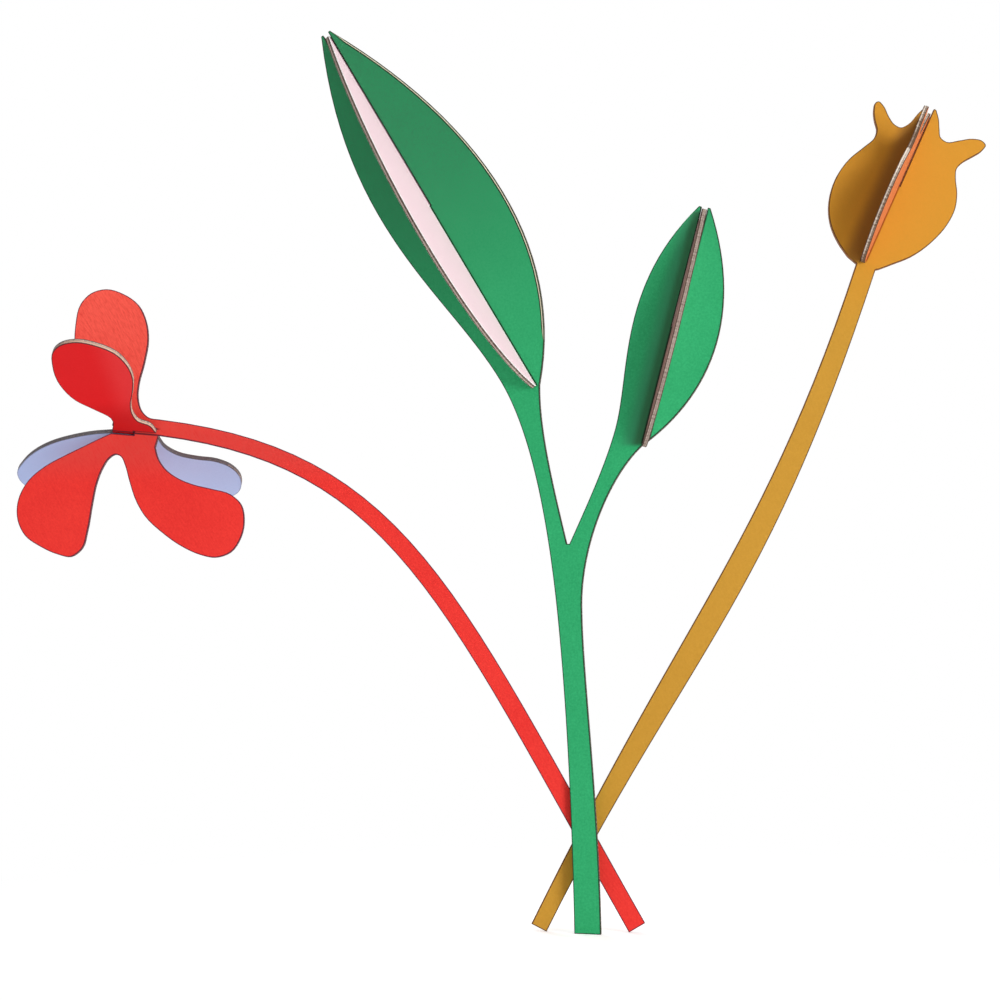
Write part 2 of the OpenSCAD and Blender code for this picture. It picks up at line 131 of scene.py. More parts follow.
def linear(colour: Colour) -> tuple[float, float, float, float]:
    """Turns a colour as it looks on a screen, from 0 to 255, into scene-linear light.

    Args:
        colour: Red, green and blue from 0 to 255.

    Returns:
        The linear colour with an alpha of 1.
    """
    shares = [value / SCREEN_FULL for value in colour]
    red, green, blue = (
        share / SCREEN_SLOPE if share <= SCREEN_KNEE
        else ((share + SCREEN_SHIFT) / (1 + SCREEN_SHIFT)) ** SCREEN_POWER
        for share in shares)
    return red, green, blue, 1.0


class Wire:
    """A socket whose value plain operators turn into Math nodes."""

    def __init__(self, graph: "Graph", socket: bpy.types.NodeSocket) -> None:
        """Keeps the socket and the graph that it belongs to."""
        self.graph = graph
        self.socket = socket

    def _math(self, operation: str, first: "Wire | float", second: "Wire | float") -> "Wire":
        """Adds one Math node and returns its value."""
        return self.graph.add("ShaderNodeMath", {"operation": operation}, {0: first, 1: second})

    def __add__(self, other: "Wire | float") -> "Wire":
        """Sum of two values."""
        return self._math("ADD", self, other)

    def __radd__(self, other: float) -> "Wire":
        """Sum with a number first."""
        return self._math("ADD", other, self)

    def __sub__(self, other: "Wire | float") -> "Wire":
        """Difference of two values."""
        return self._math("SUBTRACT", self, other)

    def __rsub__(self, other: float) -> "Wire":
        """Difference with a number first."""
        return self._math("SUBTRACT", other, self)

    def __mul__(self, other: "Wire | float") -> "Wire":
        """Product of two values."""
        return self._math("MULTIPLY", self, other)

    def __rmul__(self, other: float) -> "Wire":
        """Product with a number first."""
        return self._math("MULTIPLY", other, self)

    def __abs__(self) -> "Wire":
        """Size of a value without its sign."""
        return self._math("ABSOLUTE", self, 0.0)

    def least(self, other: "Wire | float") -> "Wire":
        """The smaller of two values."""
        return self._math("MINIMUM", self, other)

    def most(self, other: "Wire | float") -> "Wire":
        """The larger of two values."""
        return self._math("MAXIMUM", self, other)

    def ease(self, zero: float, one: float) -> "Wire":
        """Changes smoothly from 0 to 1 between two values.

        Args:
            zero: Value at which the result is 0.
            one: Value at which the result is 1; it may be the smaller one.

        Returns:
            The eased value, from 0 to 1.
        """
        rises = zero < one
        sockets = {"Value": self, "From Min": min(zero, one), "From Max": max(zero, one),
                   "To Min": 0.0 if rises else 1.0, "To Max": 1.0 if rises else 0.0}
        return self.graph.add("ShaderNodeMapRange", {"interpolation_type": "SMOOTHSTEP"}, sockets)


class Graph:
    """The nodes of one material or of the world."""

    def __init__(self, tree: bpy.types.NodeTree) -> None:
        """Starts from an empty tree."""
        self.tree = tree
        self.tree.nodes.clear()

    def add(self, kind: str, settings: dict | None = None, sockets: dict | None = None,
            output: int | str = 0) -> Wire:
        """Adds one node of any type.

        Args:
            kind: Blender's name of the node type.
            settings: Properties of the node, set first.
            sockets: Values or wires for its inputs, by name or place.
            output: The output that is wanted, by name or place.

        Returns:
            A wire from that output, or from none where the node has no output.
        """
        node = self.tree.nodes.new(kind)
        for name, value in (settings or {}).items():
            setattr(node, name, value)
        for name, value in (sockets or {}).items():
            if isinstance(value, Wire):
                self.tree.links.new(value.socket, node.inputs[name])
            else:
                node.inputs[name].default_value = value
        return Wire(self, node.outputs[output] if node.outputs else None)

    def place(self) -> Wire:
        """Object coordinates, in metres."""
        return self.add("ShaderNodeTexCoord", output="Object")

    def along(self, vector: Wire, way: Way) -> Wire:
        """How far a vector reaches in one direction."""
        return self.add("ShaderNodeVectorMath", {"operation": "DOT_PRODUCT"}, {0: vector, 1: way},
                        output="Value")

    def attribute(self, name: str) -> Wire:
        """A number that the mesh holds at its points."""
        return self.add("ShaderNodeAttribute", {"attribute_name": name}, output="Fac")

    def stretched(self, vector: Wire, scale: Way, turn: Way = (0, 0, 0)) -> Wire:
        """Coordinates turned and scaled for a pattern with a grain."""
        return self.add("ShaderNodeMapping", {"vector_type": "TEXTURE"},
                        {"Vector": vector, "Scale": scale, "Rotation": turn})

    def noise(self, vector: Wire, pattern: Noise) -> Wire:
        """Smooth random values around 0.

        Args:
            vector: Coordinates to read.
            pattern: The pattern, its size in the units of the coordinates.

        Returns:
            Values from about -0.5 to 0.5.
        """
        sockets = {"Vector": vector, "Scale": 1 / pattern.size, "Detail": pattern.detail,
                   "Roughness": pattern.rough}
        return self.add("ShaderNodeTexNoise", None, sockets) - NOISE_MIDDLE

    def blend(self, share: Wire | float, first: Wire | Colour, second: Wire | Colour) -> Wire:
        """Mixes two colours, the second one by its share."""
        first, second = (c if isinstance(c, Wire) else linear(c) for c in (first, second))
        sockets = {0: share, MIX_FIRST: first, MIX_SECOND: second}
        return self.add("ShaderNodeMix", {"data_type": "RGBA"}, sockets, output=MIX_RESULT)

    def surface(self, colour: Wire, pattern: Wire, height: Wire, matt: Matt) -> None:
        """Ends a material in one Principled shader with a relief.

        Args:
            colour: Base colour.
            pattern: Values around 0 that change the roughness.
            height: Height of the relief.
            matt: Roughness, shine and depth of the surface.
        """
        relief = {"Height": height, "Distance": matt.depth, "Strength": matt.strength}
        sockets = {"Base Color": colour, "Roughness": matt.rough + matt.change * pattern,
                   "Normal": self.add("ShaderNodeBump", None, relief),
                   "Specular IOR Level": matt.shine}
        shader = self.add("ShaderNodeBsdfPrincipled", None, sockets)
        self.add("ShaderNodeOutputMaterial", None, {"Surface": shader})


def new_material(name: str) -> tuple[bpy.types.Material, Graph]:
    """Makes an empty node material.

    Args:
        name: Name of the material.

    Returns:
        The material and its graph.
    """
    material = bpy.data.materials.new(name)
    material.use_nodes = True
    return material, Graph(material.node_tree)


@dataclass(frozen=True)
class InkAndLightDrift:
    """A slow change of colour across the card, and the streaks that come with it: a change of the ink
    on the tulip's papers, painted sheen on the blossom's stem, and painted light and shade on the
    leaves and the crossing petals.
    """

    colour: Colour
    way: Way
    start: float
    end: float
    streak: float = 0.0


@dataclass(frozen=True)
class JointShade:
    """Painted shade on a card: a dark band along one face of a card that crosses it."""

    colour: Colour
    normal: Way
    offset: float
    way: Way
    low: float
    high: float
    wide: float
    fade: float = 2 * MM
    core: float = 0.4
    lead: float = 0.3

    def line(self, graph: Graph, place: Wire) -> Wire:
        """How strong the painted shade is at a place, from 0 to 1."""
        away = graph.along(place, self.normal) - self.offset
        across = (away.ease(self.wide, self.core * self.wide)
                  * away.ease(-self.lead * self.wide, 0.0))
        reached = graph.along(place, self.way)
        return (across * reached.ease(self.low, self.low + self.fade)
                * reached.ease(self.high, self.high - self.fade))


@dataclass(frozen=True)
class PrintedPaper:
    """A matt printed paper with a mottled ink and a rim browned by the cutting beam."""

    slot: str
    ink: Colour
    deep_ink: Colour
    burnt: Colour
    ink_and_light_drifts: tuple[InkAndLightDrift, ...]
    burn: float = 0.9
    grain: float = 1.1
    streak: float = 0.4
    streak_turn: float = 0.0
    bare: Colour = (236, 232, 200)
    scorch: Colour = (36, 30, 24)
    patch_noise: Noise = Noise(38 * MM)
    grain_noise: Noise = Noise(0.8 * MM, 3, 0.65)
    streak_scale: Way = (0.6 * MM, 0.6 * MM, 3.2 * MM)
    streak_noise: Noise = Noise(1.0, 2, 0.6)
    fibre_noise: Noise = Noise(0.35 * MM, 4, 0.7)
    deep: float = 0.5
    deep_patch: float = 0.6
    deep_hold: float = 0.5
    grain_unrest: float = 0.5
    patch_unrest: float = 0.25
    fibre_relief: float = 0.6
    streak_relief: float = 0.5
    matt: Matt = Matt(0.74, 0.2, 0.22, 0.03 * MM)
    browned: Span = (0.1, 0.5)
    browned_unrest: float = 0.2
    inner_line: Span = (0.0, 0.1)
    bare_strip: Span = (0.4, 0.48)
    outer_line: Span = (0.66, 0.74)
    line_unrest: float = 0.1

    def material(self, name: str, joint_shades: list[JointShade]) -> bpy.types.Material:
        """Makes the print's material.

        Args:
            name: Name of the material.
            joint_shades: The painted contact shade and painted shadows on the print.

        Returns:
            The material, which reads the sheet's rim and margin.
        """
        made, graph = new_material(name)
        place = graph.place()
        patch = graph.noise(place, self.patch_noise)
        grain = graph.noise(place, self.grain_noise)
        turned = graph.stretched(place, self.streak_scale, (0, self.streak_turn, 0))
        streak = graph.noise(turned, self.streak_noise)
        # Slow changes across the card: ink on the tulip, painted sheen on the blossom, painted light
        # and shade on the leaves and crossing petals
        ink_and_light_drifts = [(ink_and_light_drift, graph.along(place, ink_and_light_drift.way).ease(ink_and_light_drift.start, ink_and_light_drift.end))
                  for ink_and_light_drift in self.ink_and_light_drifts]
        streaks = self.streak + sum(ink_and_light_drift.streak * share for ink_and_light_drift, share in ink_and_light_drifts)
        depth = self.deep + self.deep_patch * patch + self.grain * grain + streaks * streak
        ink = graph.blend(depth, self.ink, self.deep_ink)
        for ink_and_light_drift, share in ink_and_light_drifts:
            ink = graph.blend(share * (1 - self.deep_hold * depth), ink, ink_and_light_drift.colour)
        ink = self.outlined(graph, ink, self.grain_unrest * grain + self.patch_unrest * patch)
        # Painted contact shade and painted shadows beside the crossing cards, as strong as the
        # print's burn
        for joint_shade in joint_shades:
            ink = graph.blend(joint_shade.line(graph, place) * self.burn, ink, joint_shade.colour)
        fibre = graph.noise(place, self.fibre_noise)
        height = grain + self.fibre_relief * fibre + self.streak_relief * streak
        graph.surface(ink, grain, height, self.matt)
        return made

    def outlined(self, graph: Graph, ink: Wire, unrest: Wire) -> Wire:
        """Adds the browned rim, or a bare strip between two dark lines where there is a margin.

        Args:
            graph: The print's graph.
            ink: Colour of the print.
            unrest: Small random values that keep the lines uneven.

        Returns:
            The colour of the print with its outline.
        """
        rim = graph.attribute(RIM)
        margin = graph.attribute(MARGIN)
        browned = (rim + self.browned_unrest * unrest).ease(*self.browned) * self.burn
        edge = rim + self.line_unrest * unrest
        ink = graph.blend(browned * (1 - margin), ink, self.burnt)
        ink = graph.blend(rim.ease(*self.inner_line) * margin, ink, self.burnt)
        ink = graph.blend(edge.ease(*self.bare_strip) * margin, ink, self.bare)
        return graph.blend(edge.ease(*self.outer_line) * margin, ink, self.scorch)


@dataclass(frozen=True)
class PaperCut:
    """The thin cut edge of a paper, bare in places and browned where the beam was hot."""

    bare: Colour
    burnt: Colour
    burn: float
    patch_noise: Noise = Noise(7 * MM)
    fibre_noise: Noise = Noise(0.3 * MM, 3, 0.6)
    burn_patch: float = 0.7
    burn_fibre: float = 0.5
    matt: Matt = Matt(0.85, 0.1, 0.15, 0.02 * MM)

    def material(self, name: str) -> bpy.types.Material:
        """Makes the cut edge's material.

        Args:
            name: Name of the material.

        Returns:
            The material.
        """
        made, graph = new_material(name)
        place = graph.place()
        patch = graph.noise(place, self.patch_noise)
        fibre = graph.noise(place, self.fibre_noise)
        burn = self.burn + self.burn_patch * patch + self.burn_fibre * fibre
        graph.surface(graph.blend(burn, self.bare, self.burnt), fibre, fibre, self.matt)
        return made


@dataclass(frozen=True)
class GreyBoard:
    """Layered grey board as its cut edge shows it: fibres, seams between the plies, and soot, which
    on the tulip's crossing also carries painted highlight and shade.
    """

    name: str
    soot_and_shade: Colour
    pale: Colour = (200, 184, 170)
    fibre: Colour = (152, 130, 122)
    seam: Colour = (86, 68, 60)
    seam_wide: float = 0.09 * MM
    seam_core: float = 0.2
    seam_share: float = 0.6
    fibre_scale: Way = (2.4 * MM, 0.11 * MM, 1.0)
    fibre_noise: Noise = Noise(1.0, 3, 0.6)
    beam_scale: Way = (0.9 * MM, 6 * MM, 1.0)
    beam_noise: Noise = Noise(1.0, 1)
    patch_scale: Way = (16 * MM, 4 * MM, 1.0)
    patch_noise: Noise = Noise(1.0, 2)
    speck_noise: Noise = Noise(0.25 * MM, 3, 0.7)
    tone: float = 0.42
    tone_fibre: float = 0.9
    tone_patch: float = 0.5
    tone_speck: float = 0.5
    lip: Span = (0.34, 0.46)
    soot_lip: float = 0.8
    soot_patch: float = 0.5
    soot_beam: float = 2.0
    soot_fibre: float = 0.6
    soot_most: float = 0.92
    beam_relief: float = 0.5
    speck_relief: float = 0.5
    matt: Matt = Matt(0.86, 0.1, 0.12, 0.05 * MM, 0.6)

    def material(self, thick: float, seams: list[float]) -> bpy.types.Material:
        """Makes the board's material.

        Args:
            thick: Thickness of the board.
            seams: Offsets of the seams between the plies from the board's middle.

        Returns:
            The material, which reads the edge's own map: along the cut, and across the board.
        """
        made, graph = new_material(self.name)
        run = graph.add("ShaderNodeUVMap", {"uv_map": RUN_MAP})
        across = graph.add("ShaderNodeSeparateXYZ", None, {0: run}, output="Y")
        fibres = graph.noise(graph.stretched(run, self.fibre_scale), self.fibre_noise)
        beam = graph.noise(graph.stretched(run, self.beam_scale), self.beam_noise)
        patch = graph.noise(graph.stretched(run, self.patch_scale), self.patch_noise)
        speck = graph.noise(graph.place(), self.speck_noise)
        tone = (self.tone + self.tone_fibre * fibres + self.tone_patch * patch
                + self.tone_speck * speck)
        colour = graph.blend(tone, self.pale, self.fibre)
        for seam in seams:
            near = abs(across - seam).ease(self.seam_wide, self.seam_core * self.seam_wide)
            colour = graph.blend(near * self.seam_share, colour, self.seam)
        lip = abs(across).ease(*(share * thick for share in self.lip))
        soot_and_shade = (graph.attribute(SOOT_AND_SHADE) + self.soot_lip * lip + self.soot_patch * patch
                + self.soot_beam * beam + self.soot_fibre * fibres)
        colour = graph.blend(soot_and_shade.most(0.0).least(self.soot_most), colour, self.soot_and_shade)
        height = fibres + self.beam_relief * beam + self.speck_relief * speck
        graph.surface(colour, speck, height, self.matt)
        return made


@dataclass(frozen=True)
class ShadedJoint:
    """Painted shade that a crossing card throws on a print: a band along its low face, and one along
    its high face.

    The second line is left out where it has no colour. The lines are as tall as the crossing
    card, or they are limited by a span from left to right.
    """

    body: str
    marked: Print
    low: Colour
    high: Colour | None
    wide: float
    span: Span | None = None


# Heights over which the leaves darken towards their tips: painted shade
LEAF_RISE: Span = (205 * MM, 350 * MM)


def leaf_tip_shade(colour: Colour) -> InkAndLightDrift:
    """A leaf's colour darkening towards its tip: painted shade for the upper leaf, which gets less
    light.
    """
    return InkAndLightDrift(colour, UP_LEFT, *LEAF_RISE)


BROWN_BOARD = GreyBoard("brown_board", (80, 54, 50))
PALE_BOARD = GreyBoard("pale_board", (106, 76, 54), (240, 226, 208), (204, 186, 176))
SMOKED_BOARD = GreyBoard("smoked_board", (102, 103, 110), (244, 206, 182), (190, 154, 134))
AMBER_BOARD = GreyBoard("amber_board", (132, 76, 24))
WINE_BOARD = GreyBoard("wine_board", (84, 28, 48))
MOSS_BOARD = GreyBoard("moss_board", (32, 48, 36))

DARK_GREEN: Colour = (20, 42, 26)
WINE: Colour = (84, 22, 36)
PINK: Colour = (248, 223, 229)
DEEP_PINK: Colour = (240, 207, 217)
# The pink also darkens towards the leaf's tip: painted shade
PINK_TIP_SHADE = leaf_tip_shade((246, 215, 223))

PAPERS: dict[Print, PrintedPaper] = {
    # The green darkens towards the large leaf's tip: painted shade for the upper leaf, which gets
    # less light
    Print.LEAF: PrintedPaper(
        "green_paper", (54, 184, 118), (38, 162, 100), DARK_GREEN,
        (leaf_tip_shade((48, 126, 84)),), burn=0.95, grain=2.0),
    Print.CROSS_LEAF: PrintedPaper(
        "pink_paper", PINK, DEEP_PINK, (255, 252, 250),
        (PINK_TIP_SHADE,), burn=1.0, grain=0.7, streak=0.2),
    Print.SMALL_LEAF: PrintedPaper(
        "pink_paper", PINK, DEEP_PINK, (84, 74, 52),
        (PINK_TIP_SHADE,), grain=0.7, streak=0.2),
    # The small leaf's left face is printed a dusky rose, far darker than the pink of its right face:
    # partly painted shade, for the deep shade on that face
    Print.DUSKY_LEAF: PrintedPaper(
        "pink_paper", (182, 140, 132), (158, 112, 106), (52, 42, 32),
        (leaf_tip_shade((170, 126, 120)),), burn=0.95, grain=0.8),
    # The red turns duller and pinker above 176 mm and paler above 196 mm, with stronger streaks:
    # painted sheen on the upper stem, neck and upper petal
    Print.BLOSSOM: PrintedPaper(
        "red_paper", (244, 60, 50), (222, 38, 35), (88, 24, 48),
        (InkAndLightDrift((220, 63, 56), UP, 176 * MM, 190 * MM, streak=1.6),
         InkAndLightDrift((255, 96, 80), UP, 196 * MM, 228 * MM, streak=0.8)),
        burn=0.95, streak=0.9, streak_turn=-0.55),
    # The fore petal's underside is lighter towards its right side, where the key light reaches it,
    # and darker near the waist: painted light and painted shade
    Print.CROSS_PETAL: PrintedPaper(
        "red_paper", (222, 10, 18), (210, 6, 14), (84, 22, 32),
        (InkAndLightDrift((222, 48, 50), RIGHT, -191 * MM, -179 * MM),
         InkAndLightDrift((192, 6, 12), UP, 209 * MM, 202 * MM)),
        burn=0.95, grain=0.6),
    # The lavender darkens towards the left, behind the main blossom and away from the key light:
    # painted shade
    Print.BACK_PETAL: PrintedPaper(
        "lavender_paper", (188, 206, 244), (172, 190, 232), (110, 114, 140),
        (InkAndLightDrift((168, 184, 226), RIGHT, -165 * MM, -195 * MM),), burn=0.6, grain=0.7),
    Print.TULIP: PrintedPaper(
        "ochre_paper", (204, 150, 50), (189, 137, 42), (84, 52, 24),
        (InkAndLightDrift((209, 142, 37), UP, 235 * MM, 275 * MM),),
        burn=0.95, grain=1.0, streak=0.5, streak_turn=-0.4),
    Print.CROSS_TULIP: PrintedPaper(
        "coral_paper", (212, 122, 70), (194, 102, 54), (104, 50, 38),
        (InkAndLightDrift((206, 118, 68), UP, 280 * MM, 330 * MM),), burn=0.85, grain=0.9),
}
CUTS: dict[Cut, PaperCut] = {
    Cut.SCORCHED: PaperCut((120, 98, 82), (42, 30, 25), burn=0.75),
    Cut.AMBER: PaperCut((206, 128, 48), (132, 70, 20), burn=0.6),
    Cut.BARE: PaperCut((255, 252, 250), (226, 212, 202), burn=0.1),
}
WAIST: Span = (-194 * MM, -172 * MM)
# The wide marks are painted shadows beside the small leaf's and the tulip's crossings; the narrow
# ones, drawn over them, are painted contact shade along each joint
SHADED_JOINTS: tuple[ShadedJoint, ...] = (
    ShadedJoint("small_leaf", Print.LEAF, (55, 150, 102), None, 10 * MM),
    ShadedJoint("small_leaf", Print.LEAF, (50, 114, 75), None, 5 * MM),
    ShadedJoint("tulip_petals", Print.TULIP, (156, 106, 38), None, 10 * MM),
    ShadedJoint("large_leaf", Print.LEAF, DARK_GREEN, DARK_GREEN, 0.7 * MM),
    ShadedJoint("small_leaf", Print.LEAF, (20, 34, 18), DARK_GREEN, 0.9 * MM),
    ShadedJoint("tulip_petals", Print.TULIP, (64, 42, 8), (160, 74, 12), 0.7 * MM),
    ShadedJoint("blossom_petals", Print.BLOSSOM, WINE, WINE, 0.7 * MM, WAIST),
    ShadedJoint("blossom_stem", Print.CROSS_PETAL, WINE, WINE, 0.7 * MM, WAIST),
)


def begin_edit(piece: bpy.types.Object) -> None:
    """Opens one object for editing, with nothing else selected."""
    if bpy.context.object is not None and bpy.context.object.mode != "OBJECT":
        bpy.ops.object.mode_set(mode="OBJECT")
    bpy.ops.object.select_all(action="DESELECT")
    piece.select_set(True)
    bpy.context.view_layer.objects.active = piece
    bpy.ops.object.mode_set(mode="EDIT")


def pick_faces(piece: bpy.types.Object, wanted: Callable[[bmesh.types.BMFace], bool]) -> None:
    """Selects the faces of an object in edit mode that pass a test.

    Args:
        piece: The object in edit mode.
        wanted: The test of one face.
    """
    bpy.ops.mesh.select_mode(type="FACE")
    bpy.ops.mesh.select_all(action="DESELECT")
    mesh = bmesh.from_edit_mesh(piece.data)
    for face in mesh.faces:
        face.select_set(wanted(face))
    bmesh.update_edit_mesh(piece.data)


def pick_points(piece: bpy.types.Object, wanted: Callable[[Vector], bool]) -> None:
    """Selects the points of an object in edit mode that pass a test.

    Args:
        piece: The object in edit mode.
        wanted: The test of one point's place.
    """
    bpy.ops.mesh.select_mode(type="VERT")
    bpy.ops.mesh.select_all(action="DESELECT")
    mesh = bmesh.from_edit_mesh(piece.data)
    for point in mesh.verts:
        point.select_set(wanted(point.co))
    mesh.select_flush(True)
    bmesh.update_edit_mesh(piece.data)


def lift(step: Vector) -> None:
    """Extrudes the selected face by a step."""
    bpy.ops.mesh.extrude_region_move(TRANSFORM_OT_translate={"value": step})


def close_edit(corner: float) -> None:
    """Turns all faces outwards, leaves edit mode and smooths the shallow corners."""
    bpy.ops.mesh.select_all(action="SELECT")
    bpy.ops.mesh.normals_make_consistent(inside=False)
    bpy.ops.object.mode_set(mode="OBJECT")
    bpy.ops.object.shade_smooth_by_angle(angle=corner)


def card_normal(node: str) -> Vector:
    """Finds the direction across a packed card, which is right, back or up.

    Args:
        node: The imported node.

    Returns:
        The direction, of length 1.
    """
    widest = max(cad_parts[node].data.polygons, key=lambda face: face.area)
    return -widest.normal if max(widest.normal, key=abs) < 0 else widest.normal.copy()


def reach(node: str, way: Vector) -> Span:
    """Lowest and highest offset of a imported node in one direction."""
    offsets = [point.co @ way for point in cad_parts[node].data.vertices]
    return min(offsets), max(offsets)


@dataclass
class CutOut:
    """One flat cut-out: a grey board with the printed papers on its two faces."""

    body: str
    board: str
    papers: dict[str, Print]
    cuts: dict[str, Cut] = field(default_factory=dict)
    finish: GreyBoard = BROWN_BOARD
    low_soot: float = 0.75
    high_soot: float = 0.75
    plies: int = 2
    seam_deep: float = 0.05 * MM
    seam_half: float = 0.05 * MM
    chamfer: float = 0.05 * MM
    rim: float = 0.45 * MM
    print_tilt: float = 0.5
    corner: float = math.radians(32)
    pieces: list[bpy.types.Object] = field(default_factory=list)

    def __post_init__(self) -> None:
        """Reads the board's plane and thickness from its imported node."""
        self.across = card_normal(self.board)
        self.low, self.high = reach(self.board, self.across)
        self.thick = self.high - self.low
        self.middle = (self.low + self.high) / 2
        self.seams = [self.thick * (step / self.plies - 0.5) for step in range(1, self.plies)]

    def flat_face(self, node: str, name: str, offset: float, towards: Vector) -> bpy.types.Object:
        """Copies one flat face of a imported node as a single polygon, and leaves it open to edit.

        Args:
            node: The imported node.
            name: Name of the new piece.
            offset: Offset of the wanted face across the card.
            towards: Direction in which the polygon is turned.

        Returns:
            The new piece in edit mode, its polygon selected.
        """
        piece = bpy.data.objects.new(name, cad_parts[node].data.copy())
        piece.data.materials.clear()
        bpy.context.scene.collection.objects.link(piece)
        begin_edit(piece)
        bpy.ops.mesh.select_all(action="SELECT")
        bpy.ops.mesh.remove_doubles(threshold=MERGE)

        def on_plane(face: bmesh.types.BMFace) -> bool:
            """True for a face of the wanted flat side."""
            offsets = [point.co @ self.across - offset for point in face.verts]
            near = all(abs(away) < PLANE_SLACK for away in offsets)
            return near and abs(face.normal @ self.across) > FLAT

        pick_faces(piece, on_plane)
        bpy.ops.mesh.dissolve_faces()
        bpy.ops.mesh.select_all(action="INVERT")
        bpy.ops.mesh.delete(type="FACE")
        bpy.ops.mesh.select_all(action="SELECT")
        polygon = bmesh.from_edit_mesh(piece.data).faces
        polygon.ensure_lookup_table()
        if polygon[0].normal @ towards < 0:
            bpy.ops.mesh.flip_normals()
        return piece

    def build_board(self) -> bpy.types.Object:
        """Extrudes the board ply by ply and draws in the seams between the plies.

        Returns:
            The board's piece.
        """
        piece = self.flat_face(self.board, f"{self.board}_plies", self.low, self.across)
        seams = [self.middle + seam for seam in self.seams]
        stops = [seam + side * self.seam_half for seam in seams for side in (-1, 0, 1)]
        reached = self.low
        for stop in [*stops, self.high]:
            lift(self.across * (stop - reached))
            reached = stop
        near = self.seam_half / 4
        pick_points(piece, lambda at: any(abs(at @ self.across - seam) < near for seam in seams))
        bpy.ops.transform.shrink_fatten(value=-self.seam_deep)
        close_edit(self.corner)
        return piece

    def build_paper(self, node: str) -> bpy.types.Object:
        """Extrudes a paper from the board, chamfers its edge and insets the browned rim.

        Args:
            node: The paper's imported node.

        Returns:
            The paper's piece.
        """
        low, high = reach(node, self.across)
        outward = self.across if low + high > self.low + self.high else -self.across
        glued = low if outward @ self.across > 0 else high
        piece = self.flat_face(node, f"{node}_sheet", glued, outward)
        lift(outward * (high - low - self.chamfer))
        bpy.ops.mesh.inset(thickness=self.chamfer, depth=self.chamfer, use_even_offset=True)
        bpy.ops.mesh.inset(thickness=self.rim, depth=0.0, use_even_offset=True)
        margin = self.widen_rim(piece, node)
        bpy.ops.object.mode_set(mode="OBJECT")
        facing = [face for face in piece.data.polygons if face.normal @ outward > FLAT]
        inner = set(max(facing, key=lambda face: face.area).vertices)
        begin_edit(piece)
        close_edit(self.corner)
        points = range(len(piece.data.vertices))
        marks = {RIM: [0.0 if index in inner else 1.0 for index in points],
                 MARGIN: [1.0 if index in margin else 0.0 for index in points]}
        for name, values in marks.items():
            piece.data.attributes.new(name, "FLOAT", "POINT").data.foreach_set("value", values)
        for polygon in piece.data.polygons:
            printed = polygon.normal @ outward > self.print_tilt
            polygon.material_index = Part.PRINT.value if printed else Part.CUT.value
        return piece

    def widen_rim(self, piece: bpy.types.Object, node: str) -> set[int]:
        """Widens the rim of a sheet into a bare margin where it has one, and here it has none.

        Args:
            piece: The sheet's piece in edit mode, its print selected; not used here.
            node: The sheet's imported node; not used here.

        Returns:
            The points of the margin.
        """
        return set()

    def joint_shades(self, joint: ShadedJoint, way: Way, ends: Span) -> list[JointShade]:
        """The painted shade that this card throws on a card that it meets.

        Args:
            joint: Colours and width of the lines.
            way: Direction in which the lines are limited.
            ends: Where the lines begin and end in that direction.

        Returns:
            The lines along the low face and the high face that have a colour.
        """
        half = max(abs(end - self.middle)
                   for node in self.papers for end in reach(node, self.across))
        return [JointShade(colour, tuple(side * self.across), side * self.middle + half,
                       way, *ends, joint.wide)
                for colour, side in ((joint.low, -1), (joint.high, 1)) if colour is not None]

    def flatten(self, at: Vector) -> Vector:
        """Drops a point onto the card's middle plane."""
        return at - self.across * (at @ self.across - self.middle)

    def soot_and_shade_at(self, at: Vector) -> float:
        """How much soot the cut edge has at a place, from the tone of its ply."""
        on_low = at @ self.across < self.middle + self.seam_half / 2
        return self.low_soot if on_low else self.high_soot

    def map_edges(self, piece: bpy.types.Object) -> None:
        """Writes the board's edge map, along the cut and across the board, and its soot, with the
        painted highlight and shade where a cut-out adds them.

        Args:
            piece: The board's piece.
        """
        mesh = piece.data
        widest = max(mesh.polygons, key=lambda face: face.area)
        outline = [self.flatten(mesh.vertices[index].co) for index in widest.vertices]
        tree = kdtree.KDTree(len(outline))
        for index, at in enumerate(outline):
            tree.insert(at, index)
        tree.balance()
        steps = [(b - a).length for a, b in zip(outline, [*outline[1:], outline[0]])]
        runs = [sum(steps[:index]) for index in range(len(steps) + 1)]
        nearest = [tree.find(self.flatten(point.co))[1] for point in mesh.vertices]
        layer = mesh.uv_layers.new(name=RUN_MAP)
        for polygon in mesh.polygons:
            found = {nearest[index] for index in polygon.vertices}
            wraps = 0 in found and len(outline) - 1 in found
            for corner in polygon.loop_indices:
                index = mesh.loops[corner].vertex_index
                run = runs[-1] if wraps and nearest[index] == 0 else runs[nearest[index]]
                across = mesh.vertices[index].co @ self.across - self.middle
                layer.data[corner].uv = (run, across)
        soot_and_shade = [self.soot_and_shade_at(point.co) for point in mesh.vertices]
        mesh.attributes.new(SOOT_AND_SHADE, "FLOAT", "POINT").data.foreach_set("value", soot_and_shade)

    def build(self) -> None:
        """Builds the board and the papers."""
        board = self.build_board()
        self.map_edges(board)
        self.pieces = [board, *(self.build_paper(node) for node in self.papers)]

    def dress(self, finishes: dict[Enum | GreyBoard, bpy.types.Material]) -> None:
        """Gives each piece its finish and sets it on its body in place of its node.

        Args:
            finishes: The material of each print, each cut edge and each board.
        """
        worn = [[finishes[self.finish]]]
        for node, paper in self.papers.items():
            worn.append([finishes[paper], finishes[self.cuts.get(node, Cut.SCORCHED)]])
        slots = ["board", *(PAPERS[paper].slot for paper in self.papers.values())]
        nodes = [self.board, *self.papers]
        for piece, node, materials, slot in zip(self.pieces, nodes, worn, slots):
            for material in materials:
                piece.data.materials.append(material)
            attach(piece, self.body)
            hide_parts(node)
            LOG.info("%s: %d faces on %s", piece.name, len(piece.data.polygons), self.body)


